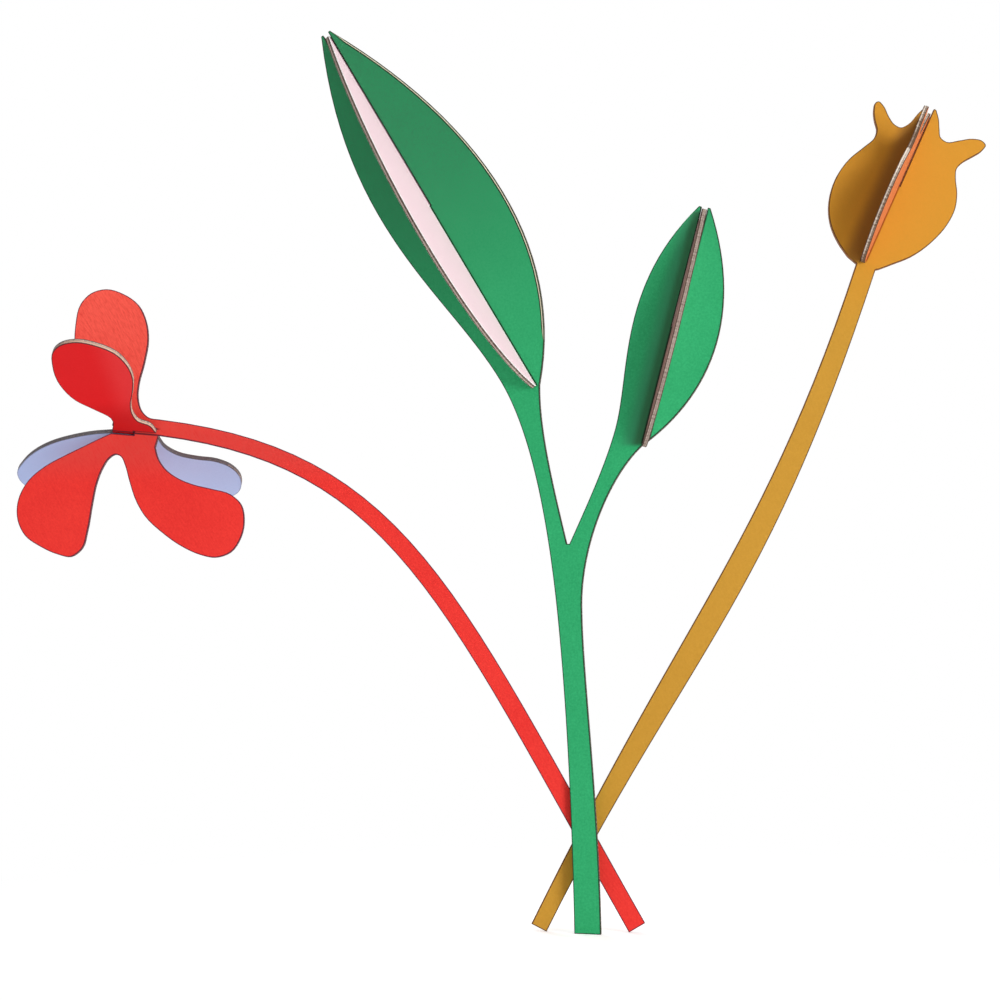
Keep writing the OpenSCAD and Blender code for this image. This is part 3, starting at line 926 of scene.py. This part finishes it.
@dataclass
class LeafStem(CutOut):
    """The forked leaf stem, whose large leaf shows bare board along its upper right side."""

    trimmed: str = "leaf_stem_front"
    crossing: str = "large_leaf_board"
    margin: float = 0.9 * MM
    margin_low: float = 242 * MM
    margin_right: float = 0 * MM
    margin_sideways: float = 0.8
    margin_up: float = 0.6
    margin_facing: float = 0.75
    clear: float = 3 * MM

    def widen_rim(self, piece: bpy.types.Object, node: str) -> set[int]:
        """Draws the print back from the large leaf's upper right side."""
        if node != self.trimmed:
            return set()
        right = card_normal(self.crossing)
        slot_side = reach(self.crossing, right)[1] + self.clear
        sideways = Vector(UP).cross(self.across).normalized()
        sideways = sideways if sideways.x > 0 else -sideways
        way = (self.margin_sideways * sideways + self.margin_up * Vector(UP)).normalized()
        mesh = bmesh.from_edit_mesh(piece.data)
        inner = {point for face in mesh.faces if face.select for point in face.verts}
        moved, edge = [], []
        for point in inner:
            at = point.co
            linked = [link.other_vert(point) for link in point.link_edges]
            outer = [other for other in linked if other not in inner]
            outside = at.z < self.margin_low or at.x > self.margin_right or at @ right < slot_side
            if outside or not outer:
                continue
            if (outer[0].co - at).normalized() @ way > self.margin_facing:
                moved.append(at.copy())
                edge += [point.index, outer[0].index]
        pick_points(piece, lambda at: any((at - there).length < MERGE for there in moved))
        bpy.ops.transform.translate(value=way * -self.margin)
        return set(edge)


@dataclass
class BlossomPetals(CutOut):
    """The blossom's crossing cut-out, whose cut edge is darker on its back petals and towards its
    left end.
    """

    left_darkening: float = 1.3
    left_end: Span = (-197 * MM, -207 * MM)
    right_end: Span = (-136 * MM, -152 * MM)
    setback: float = 0.5 * MM

    def soot_and_shade_at(self, at: Vector) -> float:
        """Soot of the ply, and a darkening towards the left that spares the front petal's right side
        and the right tip.
        """
        slot = sum(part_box(self.board), Vector()) / 2
        pale, dark = self.left_end if at.y < slot.y - self.setback else self.right_end
        share = min(max((pale - at.x) / (pale - dark), 0.0), 1.0)
        return super().soot_and_shade_at(at) + self.left_darkening * share


@dataclass(frozen=True)
class EdgeLightStep:
    """A change of the edge's darkening between two heights; on the tulip's front edge these paint a
    highlight and shade.
    """

    low: float
    high: float
    change: float


@dataclass
class TulipPetals(CutOut):
    """The tulip's crossing cut-out, whose front edge has a painted highlight at a nick, and painted
    shade above it and towards the foot.
    """

    edge_light_steps: tuple[EdgeLightStep, ...] = (
        EdgeLightStep(240 * MM, 271.5 * MM, 0.9),
        EdgeLightStep(271.5 * MM, 296 * MM, 0.5),
        EdgeLightStep(296 * MM, 300 * MM, 0.4),
        EdgeLightStep(300 * MM, 303 * MM, 0.3),
        EdgeLightStep(306.3 * MM, 312.5 * MM, -0.5),
        EdgeLightStep(312.5 * MM, 320 * MM, 0.9),
        EdgeLightStep(320 * MM, 323.5 * MM, 0.55),
        EdgeLightStep(323.5 * MM, 400 * MM, 0.3),
    )

    def soot_and_shade_at(self, at: Vector) -> float:
        """Soot of the ply, lessened at the nick for a painted highlight, and more above it and
        towards the foot for painted shade.
        """
        changes = [edge_light_steps.change for edge_light_steps in self.edge_light_steps if edge_light_steps.low < at.z < edge_light_steps.high]
        return super().soot_and_shade_at(at) + sum(changes)


@dataclass
class Studio:
    """Floor, light, white background and camera."""

    eye: Vector = field(default_factory=lambda: Vector((-34.4 * MM, -640 * MM, 102.2 * MM)))
    pitch: float = math.radians(6.1)
    focal_px: float = 1600
    image_px: float = 1000
    sensor: float = 36
    clip: float = 10 * MM
    ambient: float = 0.12
    zenith: float = 1.0
    overhead: Span = (0.5, 1.0)
    floor_size: float = 6.0
    floor_colour: Colour = (250, 250, 250)
    floor_glow: float = 0.26
    floor_seen: float = 0.4
    fade: Span = (0.02, 0.32)
    white_glow: float = 1.0
    key_at: Vector = field(default_factory=lambda: Vector((1580 * MM, -1430 * MM, 480 * MM)))
    key_watts: float = 33.0
    fill_at: Vector = field(default_factory=lambda: Vector((-1000 * MM, 1650 * MM, 900 * MM)))
    fill_watts: float = 16.0
    lamp_aim: Vector = field(default_factory=lambda: Vector((0, 0, 210 * MM)))
    lamp_size: float = 1000 * MM

    def camera(self) -> None:
        """Sets the camera where the photograph was taken."""
        data = bpy.data.cameras.new("camera")
        data.sensor_width = self.sensor
        data.lens = self.focal_px / self.image_px * self.sensor
        data.clip_start = self.clip
        camera = bpy.data.objects.new("camera", data)
        camera.location = self.eye
        camera.rotation_euler = (math.pi / 2 + self.pitch, 0, 0)
        bpy.context.scene.collection.objects.link(camera)
        bpy.context.scene.camera = camera

    def world(self) -> None:
        """Light from all round and more from overhead, seen as plain white."""
        world = bpy.data.worlds.new("white_room")
        world.use_nodes = True
        bpy.context.scene.world = world
        graph = Graph(world.node_tree)
        light = self.ambient + self.zenith * graph.along(graph.place(), UP).ease(*self.overhead)
        seen = self.seen(graph)
        sockets = {"Color": WHITE, "Strength": light * (1 - seen) + seen}
        sky = graph.add("ShaderNodeBackground", None, sockets)
        graph.add("ShaderNodeOutputWorld", None, {"Surface": sky})

    def seen(self, graph: Graph) -> Wire:
        """1 for the rays that see the background, and 0 for those that only carry its light."""
        camera, glossy, through = (graph.add("ShaderNodeLightPath", output=f"Is {kind} Ray")
                                   for kind in ("Camera", "Glossy", "Transmission"))
        return (camera + glossy + through).least(1.0)

    def floor(self) -> None:
        """A pale floor that keeps the shadow near the feet and fades to white further out."""
        bpy.ops.object.select_all(action="DESELECT")
        bpy.ops.mesh.primitive_plane_add(size=self.floor_size)
        floor = bpy.context.object
        floor.name = "floor"
        material, graph = new_material("pale_floor")
        away = graph.add("ShaderNodeVectorMath", {"operation": "LENGTH"}, {0: graph.place()},
                         output="Value")
        paper = graph.add("ShaderNodeBsdfDiffuse", None, {"Color": linear(self.floor_colour)})
        seen = self.seen(graph)
        shown = self.floor_glow + (self.floor_seen - self.floor_glow) * seen
        glow = graph.add("ShaderNodeEmission", None, {"Strength": shown})
        near = graph.add("ShaderNodeAddShader", None, {0: paper, 1: glow})
        white = graph.add("ShaderNodeEmission", None, {"Strength": self.white_glow})
        share = away.ease(*self.fade) * seen
        mixed = graph.add("ShaderNodeMixShader", None, {0: share, 1: near, 2: white})
        graph.add("ShaderNodeOutputMaterial", None, {"Surface": mixed})
        floor.data.materials.append(material)

    def lamp(self, name: str, at: Vector, watts: float) -> None:
        """Hangs one soft lamp that points at the cards.

        Args:
            name: Name of the lamp.
            at: Where it hangs.
            watts: Its power.
        """
        data = bpy.data.lights.new(name, "AREA")
        data.size = self.lamp_size
        data.energy = watts
        lamp = bpy.data.objects.new(name, data)
        lamp.location = at
        lamp.rotation_euler = (self.lamp_aim - at).to_track_quat("-Z", "Y").to_euler()
        bpy.context.scene.collection.objects.link(lamp)

    def build(self) -> None:
        """Sets up the whole studio."""
        bpy.context.scene.view_settings.view_transform = "Standard"
        self.camera()
        self.world()
        self.floor()
        self.lamp("key", self.key_at, self.key_watts)
        self.lamp("fill", self.fill_at, self.fill_watts)


def cut_outs() -> list[CutOut]:
    """Names the seven cut-outs and their papers.

    Returns:
        The cut-outs in the order in which they are built.
    """
    return [
        LeafStem("leaf_stem", "leaf_stem_board",
                 {"leaf_stem_front": Print.LEAF, "leaf_stem_back": Print.LEAF},
                 finish=MOSS_BOARD),
        CutOut("large_leaf", "large_leaf_board",
               {"large_leaf_left": Print.CROSS_LEAF, "large_leaf_right": Print.CROSS_LEAF},
               {"large_leaf_right": Cut.BARE}, low_soot=0.0, high_soot=0.65),
        CutOut("small_leaf", "small_leaf_board",
               {"small_leaf_left": Print.DUSKY_LEAF, "small_leaf_right": Print.SMALL_LEAF},
               low_soot=0.3, high_soot=0.05),
        CutOut("blossom_stem", "blossom_stem_board",
               {"blossom_stem_front": Print.BLOSSOM, "blossom_stem_back": Print.BLOSSOM},
               finish=WINE_BOARD),
        BlossomPetals("blossom_petals", "blossom_petals_board",
                      {"blossom_petals_top": Print.CROSS_PETAL,
                       "blossom_petals_red": Print.CROSS_PETAL,
                       "blossom_petals_lavender": Print.BACK_PETAL},
                      finish=SMOKED_BOARD, low_soot=-0.25, high_soot=0.3),
        CutOut("tulip_stem", "tulip_stem_board",
               {"tulip_stem_front": Print.TULIP, "tulip_stem_back": Print.TULIP},
               {"tulip_stem_front": Cut.AMBER, "tulip_stem_back": Cut.AMBER},
               finish=AMBER_BOARD),
        TulipPetals("tulip_petals", "tulip_petals_board",
                    {"tulip_petals_left": Print.CROSS_TULIP,
                     "tulip_petals_right": Print.CROSS_TULIP},
                    finish=PALE_BOARD, low_soot=-0.15, high_soot=0.25),
    ]


def joint_shades(cards: list[CutOut]) -> dict[Print, list[JointShade]]:
    """Finds the painted contact shade and the painted shadows where the cut-outs cross.

    Args:
        cards: The cut-outs.

    Returns:
        The painted shade on each print, the wide painted shadows first.
    """
    found = {card.body: card for card in cards}
    lines: dict[Print, list[JointShade]] = {kind: [] for kind in Print}
    for joint in SHADED_JOINTS:
        card = found[joint.body]
        low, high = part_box(card.board)
        way, ends = (UP, (low.z, high.z)) if joint.span is None else (RIGHT, joint.span)
        lines[joint.marked] += card.joint_shades(joint, way, ends)
    return lines


def main() -> None:
    """Builds the studio and dresses every cut-out."""
    logging.basicConfig(level=logging.INFO, format="%(name)s: %(message)s")
    Studio().build()
    cards = cut_outs()
    finishes = {kind: PAPERS[kind].material(kind.value, lines)
                for kind, lines in joint_shades(cards).items()}
    finishes |= {kind: CUTS[kind].material(kind.value) for kind in Cut}
    for card in cards:
        if card.finish not in finishes:
            finishes[card.finish] = card.finish.material(card.thick, card.seams)
    for card in cards:
        card.build()
        card.dress(finishes)


if __name__ == "__main__":
    main()
